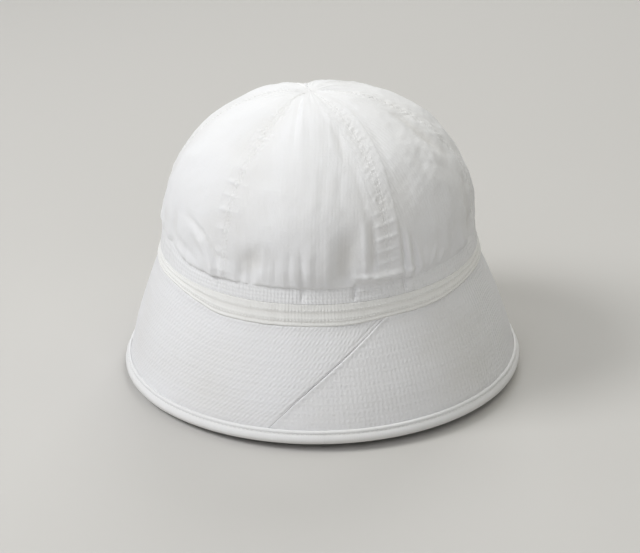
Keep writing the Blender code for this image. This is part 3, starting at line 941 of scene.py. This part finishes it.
def brim():
    """The strip between its two slanting ends, with its place on the unrolled cloth."""
    height = np.linspace(RIM_HEIGHT + 0.4 * MM, BRIM_TOP - 1.0 * MM, BRIM_ROWS + 1)[:, None]
    share, radius = brim_shares()[None, :], brim_radius(height)
    slit = np.degrees(0.5 * SEAM_SLIT / radius)
    seam = brim_seam(height)
    near_seam = np.abs(2.0 * share - 1.0) ** 1.5
    start = seam.mean() + (seam - seam.mean()) * near_seam
    azimuth = start + slit + (360.0 - 2.0 * slit) * share
    upright = radius * math.cos(math.radians(BRIM_SEAM_SLANT))
    right, left = np.radians(azimuth - seam) * upright, np.radians(seam + 360.0 - azimuth) * upright
    lift = brim_relief(place(azimuth, height, radius), right, left, height)
    lift = lift * (1.0 - smooth(height, FLARE_TOP - 1.0 * MM, FLARE_TOP))
    outer = place(azimuth, height, radius + lift)
    inner = place(azimuth[::3, ::3], height[::3], radius[::3] - BRIM_WALL)
    slant = (BRIM_TOP - height) / math.cos(math.atan(FLARE))
    around = np.radians(azimuth) * cone_radius(0.5 * (BRIM_TOP + RIM_HEIGHT))
    weave = (around + (0.3 * share - 0.05) * slant, slant)
    twill = smooth(share, 0.3, 0.92)
    ribs = 0.42 + 0.26 * smooth(share, 0.02, 0.08) + 1.10 * smooth(share, 0.10, 0.17)
    threads = (ribs * (1.0 - 0.80 * twill), (0.10 + 0.34 * ribs) * (1.0 - 0.65 * twill),
               0.20 + 0.28 * twill)
    # painted shade: the brim's colour darkens where it sinks, beside the seam and in its soft waves
    piece = cloth_shell("brim_cloth", outer, inner, weave, threads, np.clip(-lift / MM, 0.0, 1.0))
    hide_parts("brim")
    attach(piece, "root")
    return piece


BRIM = brim()

# %% [markdown]
# ## The rolled binding
#
# A strip of smooth cotton is folded over the brim's edge and stitched through. Its stitched leg
# makes two soft ridges with a groove between them, and its lower half rolls under the brim. The
# cross-section is drawn in directions along and across the brim, then carried round the rim.

# %% Binding section and body
UNDERCUT = 0.9 * MM              # the roll's outer half clears the floor by this much
GROOVE = -2.8 * MM               # place of the stitched groove along the leg


def binding_section():
    """(height, radius) of the section from the inner leg, round the roll, to the outer leg."""
    edge = brim_radius(np.array([RIM_HEIGHT, RIM_HEIGHT + 6.0 * MM]))
    lean = math.atan2(edge[0] - edge[1], 6.0 * MM)
    down = np.array([-math.cos(lean), math.sin(lean)])
    out = np.array([math.sin(lean), math.cos(lean)])
    middle = np.array([RIM_HEIGHT, edge[0]]) - HALF_BRIM * out
    leg = np.array([(-5.2, 1.5), (-5.18, 2.05), (-4.95, 2.5), (-4.5, 2.78), (-3.95, 2.84),
                    (-3.45, 2.70), (-3.1, 2.52), (-2.8, 2.48), (-2.5, 2.66), (-2.0, 2.98),
                    (-1.3, 3.22), (-0.7, 3.36)]) * MM
    roll = np.radians(np.linspace(84.0, -84.0, 25))
    bend = np.stack([np.cos(roll), np.sin(roll)], -1) * 3.5 * MM
    inner = np.array([(-1.2, -3.4), (-2.6, -3.2), (-3.8, -3.0), (-4.7, -2.7), (-5.1, -2.2),
                      (-5.15, -1.6)]) * MM
    section = np.concatenate([leg, bend, inner])
    points = middle + section[:, :1] * down + section[:, 1:] * out
    undercut = UNDERCUT * smooth(points[:, 1], RIM_RADIUS - 1.5 * MM, RIM_RADIUS + 2.5 * MM)
    points[:, 0] = np.maximum(points[:, 0], undercut)
    core = np.clip(section, [-9.0, -1.55 * MM], [0.4 * MM, 1.55 * MM])
    hidden = middle + core[:, :1] * down + core[:, 1:] * out
    return points[::-1], hidden[::-1], section[::-1]


OUTER_SECTION, INNER_SECTION, FLAT_SECTION = binding_section()
print(len(OUTER_SECTION), "points in the binding's section")


def binding():
    """The section carried round, with slight unevenness that dies out where it stands."""
    azimuth = strip_azimuths(BINDING_JOIN, RIM_RADIUS, 3 * 210, 0.06 * MM)[None, :]
    height, radius = OUTER_SECTION[:, :1], OUTER_SECTION[:, 1:]
    stand = smooth(height, 0.4 * MM, 3.0 * MM)
    uneven = 0.10 * ripple(azimuth, 5, 24, 91) + 0.05 * ripple(azimuth, 40, 120, 92)
    right = np.radians((azimuth - BINDING_JOIN) % 360.0) * RIM_RADIUS
    outer_side = smooth(FLAT_SECTION[:, 1:], 0.0, 2.0 * MM)
    lift = (uneven + 0.14 * bell(right, 2.0 * MM)) * MM * stand * outer_side
    outer = place(azimuth, height, radius + lift)
    inner = place(azimuth[:, ::3], INNER_SECTION[::3, :1], INNER_SECTION[::3, 1:])
    run = np.concatenate([[0.0], np.cumsum(np.hypot(*np.diff(OUTER_SECTION, axis=0).T))])[:, None]
    weave = (np.radians(azimuth) * RIM_RADIUS, run)
    down = FLAT_SECTION[:, :1]
    # painted shade: the colour darkens in the stitched groove and on the roll, most where it turns
    # under towards the floor
    painted_shade = 0.3 * bell(down - GROOVE, 0.5 * MM) + 1.2 * smooth(down, -1.6 * MM, 2.2 * MM)
    piece = cloth_shell("rolled_binding", outer, inner, weave, (0.3, 0.2, 0.0), painted_shade * outer_side)
    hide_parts("brim_binding")
    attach(piece, "root")
    return piece


BINDING = binding()

# %% The binding's stitch row
def binding_stitches():
    """Stitches in the groove of the outer leg, once round the rim."""
    inside = FLAT_SECTION[:, 1] < 0.0
    spot = int(np.argmin(np.abs(FLAT_SECTION[:, 0] - GROOVE) + inside))
    height, radius = OUTER_SECTION[spot]
    count = int(TURN * radius / (2.6 * MM))
    begin = 0.5 + np.arange(count - 1) * 360.0 / count
    start, stop = [place(a, height, radius) for a in (begin, begin + 0.72 * 360.0 / count)]
    outward = (place(begin, height + 0.36 * MM, radius + 0.93 * MM) - start) / MM
    return stitch_piece("binding_stitches", start, stop, outward, 0.9)


BINDING_ROW = binding_stitches()

# %% [markdown]
# ## Shared effects for the cloth
#
# Each cloth differs in weave and tone but works the same way, so the effects are node groups
# with their own inputs. The weave reads each point's place on the flat cloth, so its lines
# follow the gore or the strip as real threads do.

# %% Node helpers
def node_group(title, inputs, outputs):
    """An empty shader group. Inputs are (name, kind, value) and outputs (name, kind)."""
    tree = bpy.data.node_groups.new(title, "ShaderNodeTree")
    for name, kind, value in inputs:
        socket = tree.interface.new_socket(name=name, in_out="INPUT", socket_type="NodeSocket" + kind)
        socket.default_value = value
    for name, kind in outputs:
        tree.interface.new_socket(name=name, in_out="OUTPUT", socket_type="NodeSocket" + kind)
    return tree, tree.nodes.new("NodeGroupInput"), tree.nodes.new("NodeGroupOutput")


def feed(tree, socket, value):
    """Links a socket to another, or sets it to a number."""
    if isinstance(value, bpy.types.NodeSocket):
        tree.links.new(value, socket)
    else:
        socket.default_value = value


def calc(tree, operation, first, second=0.0, third=0.0):
    """A Math node's result."""
    node = tree.nodes.new("ShaderNodeMath")
    node.operation = operation
    for socket, value in zip(node.inputs, (first, second, third)):
        feed(tree, socket, value)
    return node.outputs[0]


def noise(tree, vector, scale, detail=3.0, roughness=0.55):
    """A Noise texture's value, about 0.5 on average."""
    node = tree.nodes.new("ShaderNodeTexNoise")
    settings = {"Vector": vector, "Scale": scale, "Detail": detail, "Roughness": roughness}
    for key, value in settings.items():
        feed(tree, node.inputs[key], value)
    return node.outputs["Fac"]


def mixed(tree, share, first, second):
    """first where the share is 0, second where it is 1."""
    node = tree.nodes.new("ShaderNodeMix")
    node.data_type = "RGBA"
    for key, value in (("Factor", share), ("A", first), ("B", second)):
        tree.links.new(value, node.inputs[key])
    return node.outputs["Result"]


# %% The weave group
def weave_group():
    """Height = a sin(u) + b sin(v) + c sin(u + 0.65 v) + fuzz + slubs.

    u and v are 2 pi x / pitch and 2 pi y / pitch for a place (x, y) on the flat cloth, bent a
    little by noise. The strengths a, b and c come from the mesh, so they can change along a
    piece. Slubs are streaks drawn out along y.
    """
    tree, given, result = node_group("cloth_weave", [
        ("Pitch", "Float", 1.9), ("Wobble", "Float", 0.6), ("Fuzz", "Float", 0.5),
        ("Slubs", "Float", 0.5)], [("Height", "Float")])

    def attribute(name):
        node = tree.nodes.new("ShaderNodeAttribute")
        node.attribute_name = name
        parts = tree.nodes.new("ShaderNodeSeparateXYZ")
        tree.links.new(node.outputs["Vector"], parts.inputs[0])
        return node.outputs["Vector"], parts.outputs

    cloth, at = attribute("weave")
    _, strength = attribute("threads")
    drift = calc(tree, "MULTIPLY", noise(tree, cloth, 0.11), given.outputs["Wobble"])
    drift = calc(tree, "MULTIPLY", drift, TURN)
    pace = calc(tree, "DIVIDE", TURN, given.outputs["Pitch"])
    u = calc(tree, "MULTIPLY_ADD", at["X"], pace, drift)
    v = calc(tree, "MULTIPLY_ADD", at["Y"], pace, drift)
    slanting = calc(tree, "MULTIPLY_ADD", v, 0.65, u)
    total = calc(tree, "MULTIPLY", calc(tree, "SINE", u), strength["X"])
    total = calc(tree, "MULTIPLY_ADD", calc(tree, "SINE", v), strength["Y"], total)
    total = calc(tree, "MULTIPLY_ADD", calc(tree, "SINE", slanting), strength["Z"], total)
    total = calc(tree, "MULTIPLY_ADD", noise(tree, cloth, 0.6, 3.0, 0.7), given.outputs["Fuzz"], total)
    drawn = tree.nodes.new("ShaderNodeMapping")
    drawn.inputs["Scale"].default_value = (1.0, 0.06, 1.0)
    tree.links.new(cloth, drawn.inputs["Vector"])
    streaks = noise(tree, drawn.outputs["Vector"], 0.55, 3.0)
    total = calc(tree, "MULTIPLY_ADD", streaks, given.outputs["Slubs"], total)
    tree.links.new(total, result.inputs["Height"])
    return tree


# %% The tone group
def tone_group():
    """Mixes a clean and a worn colour by soft noise, then paints shade: a shade colour mixed in where
    the cloth lies deep in folds and grooves or under the rolled edge.
    """
    tree, given, result = node_group("cloth_tone", [
        ("Clean", "Color", (0.8, 0.8, 0.8, 1.0)), ("Worn", "Color", (0.75, 0.74, 0.7, 1.0)),
        ("Shade", "Color", (0.6, 0.58, 0.52, 1.0)), ("Amount", "Float", 0.5),
        ("Painted shade depth", "Float", 0.3)], [("Color", "Color")])
    coordinates = tree.nodes.new("ShaderNodeTexCoord")
    broad = noise(tree, coordinates.outputs["Object"], 16.0, 4.0)
    fine = noise(tree, coordinates.outputs["Object"], 140.0, 3.0)
    both = calc(tree, "MULTIPLY_ADD", fine, 0.35, calc(tree, "MULTIPLY", broad, 0.65))
    spread = tree.nodes.new("ShaderNodeMapRange")
    feed(tree, spread.inputs["Value"], both)
    spread.inputs["From Min"].default_value, spread.inputs["From Max"].default_value = 0.38, 0.64
    share = calc(tree, "MULTIPLY", spread.outputs["Result"], given.outputs["Amount"])
    worn = mixed(tree, share, given.outputs["Clean"], given.outputs["Worn"])
    # painted shade: this attribute darkens the colour towards the shade colour in folds, grooves and
    # under the roll
    painted_shade = tree.nodes.new("ShaderNodeAttribute")
    painted_shade.attribute_name = "painted_shade"
    depth = calc(tree, "MULTIPLY", painted_shade.outputs["Fac"], given.outputs["Painted shade depth"])
    tree.links.new(mixed(tree, depth, worn, given.outputs["Shade"]), result.inputs["Color"])
    return tree


WEAVE, TONE = weave_group(), tone_group()
print("shared effects:", WEAVE.name, TONE.name)

# %% [markdown]
# ## The cloths
#
# All of the cap is white cotton, but not one white: the crown is a fine twill, the tape is
# slightly creamy, the brim is a coarser twill whose ribs show, and the binding is smooth and
# brightest. Cotton is matt with a faint sheen where it turns away.

# %% Material maker
def cotton(name, clean, worn, amount, painted_shade, weave, relief, roughness, sheen):
    """A Principled material whose colour is the tone group and whose bump is the weave group."""
    material = bpy.data.materials.new(name)
    material.use_nodes = True
    tree = material.node_tree

    def set_up(node, values, group=None):
        if group:
            node.node_tree = group
        for key, value in values.items():
            node.inputs[key].default_value = value
        return node

    shader = set_up(tree.nodes["Principled BSDF"], {
        "Roughness": roughness, "Metallic": 0.0, "Specular IOR Level": 0.25,
        "Sheen Weight": sheen, "Sheen Roughness": 0.5})
    tone = set_up(tree.nodes.new("ShaderNodeGroup"), {
        "Clean": (*clean, 1.0), "Worn": (*worn, 1.0), "Shade": (*PAINTED_SHADE_COLOUR, 1.0),
        "Amount": amount, "Painted shade depth": painted_shade}, TONE)
    threads = set_up(tree.nodes.new("ShaderNodeGroup"),
                     dict(zip(("Pitch", "Wobble", "Fuzz", "Slubs"), weave)), WEAVE)
    bump = set_up(tree.nodes.new("ShaderNodeBump"), {"Strength": 1.0, "Distance": relief})
    tree.links.new(tone.outputs["Color"], shader.inputs["Base Color"])
    tree.links.new(threads.outputs["Height"], bump.inputs["Height"])
    tree.links.new(bump.outputs["Normal"], shader.inputs["Normal"])
    return material


# %% The cap's five finishes
# painted shade: the colour mixed into every finish deep in folds and grooves
PAINTED_SHADE_COLOUR = (0.64, 0.62, 0.58)        # the colour that every finish takes deep in a fold
# each has its clean and worn colour, how much wear and how much painted shade show, the weave's
# pitch in mm, wobble, fuzz and slubs, the depth of its relief, the roughness and the sheen
CROWN_COTTON = cotton("crown_fine_twill", (0.825, 0.83, 0.85), (0.80, 0.797, 0.795), 0.4, 0.3,
                      (2.1, 0.9, 1.6, 2.2), 0.05 * MM, 0.92, 0.15)
TAPE_COTTON = cotton("tape_woven_cotton", (0.872, 0.872, 0.863), (0.85, 0.848, 0.832), 0.45, 0.4,
                     (1.85, 0.4, 1.9, 0.0), 0.040 * MM, 0.9, 0.12)
BRIM_COTTON = cotton("brim_ribbed_twill", (0.80, 0.803, 0.825), (0.78, 0.777, 0.775), 0.4, 0.4,
                     (2.65, 0.6, 3.5, 0.0), 0.070 * MM, 0.92, 0.12)
BINDING_COTTON = cotton("binding_smooth_cotton", (0.80, 0.803, 0.815), (0.78, 0.778, 0.77), 0.4, 0.3,
                        (1.3, 0.5, 1.0, 0.0), 0.03 * MM, 0.85, 0.15)
THREAD = cotton("white_thread", (0.87, 0.87, 0.87), (0.84, 0.835, 0.82), 0.3, 0.0,
                (0.5, 0.5, 0.3, 0.0), 0.01 * MM, 0.7, 0.1)

FINISHES = ((CROWN_COTTON, GORES), (TAPE_COTTON, [TAPE]), (BRIM_COTTON, [BRIM]),
            (BINDING_COTTON, [BINDING]),
            (THREAD, [*SEAM_THREADS, UPPER_ROW, LOWER_ROW, BINDING_ROW]))
for finish, pieces in FINISHES:
    for piece in pieces:
        piece.data.materials.append(finish)
print("finishes:", ", ".join(finish.name for finish, _ in FINISHES))

# %% [markdown]
# ## Floor and light
#
# The cap stands on a plain pale floor that falls away a little towards the front right, as the
# soft rim isn't quite flat and doesn't touch there. A large soft light from the upper left gives
# the bright left shoulder and lets the right side fall to grey, and weaker lights and the pale
# surroundings fill the shadows.

# %% Floor
DROP, FLOOR_SLOPES = -2.5 * MM, (-0.0085, 0.0125)   # a dark line shows under the front of the rim


def floor():
    """A wide plain plane, nearest to the rim at the back left: DROP + slopes . (x, y)."""
    reach, (east, north) = 4.0, FLOOR_SLOPES
    sides = [(-reach, -reach), (reach, -reach), (reach, reach), (-reach, reach)]
    corners = [(x, y, DROP + east * x + north * y) for x, y in sides]
    piece = new_piece("plain_floor", corners, [(0, 1, 2, 3)], {})
    material = bpy.data.materials.new("pale_floor")
    material.use_nodes = True
    shader = material.node_tree.nodes["Principled BSDF"]
    shader.inputs["Base Color"].default_value = (0.565, 0.555, 0.540, 1.0)
    shader.inputs["Roughness"].default_value = 0.9
    piece.data.materials.append(material)
    return piece


plain_floor = floor()
print("floor:", plain_floor.name)

# %% Lights and surroundings
def soft_light(name, place_at, size, watts, color):
    """A square area light that looks at the middle of the cap."""
    data = bpy.data.lights.new(name, "AREA")
    data.shape, data.size, data.energy, data.color = "SQUARE", size, watts, color
    light = bpy.data.objects.new(name, data)
    light.location = place_at
    aim = Vector((0.0, 0.0, 0.08)) - Vector(place_at)
    light.rotation_euler = aim.to_track_quat("-Z", "Y").to_euler()
    bpy.context.collection.objects.link(light)
    return light


LIGHTS = [
    soft_light("key_left", (-1.5, -0.35, 1.6), 0.8, 27.0, (1.0, 1.0, 0.995)),
    soft_light("back_left", (-1.2, 0.9, 1.7), 1.0, 4.0, (1.0, 1.0, 1.0)),
    soft_light("front_left", (-0.9, -1.3, 1.6), 1.2, 7.0, (0.90, 0.94, 1.0)),
    soft_light("back", (0.3, 1.6, 1.5), 1.1, 15.5, (1.0, 1.0, 0.995)),
    soft_light("front_right", (0.4, -1.6, 1.4), 1.6, 10.8, (1.0, 0.98, 0.95)),
    soft_light("top_right", (0.9, 0.2, 1.9), 1.4, 9.9, (1.0, 0.99, 0.88)),
]

world = bpy.data.worlds.new("pale_room")
world.use_nodes = True
sky = world.node_tree.nodes["Background"]
sky.inputs["Color"].default_value = (1.0, 1.0, 0.92, 1.0)
sky.inputs["Strength"].default_value = 0.055
bpy.context.scene.world = world
bpy.context.scene.view_settings.view_transform = "Standard"
print("lights:", ", ".join(light.name for light in LIGHTS))
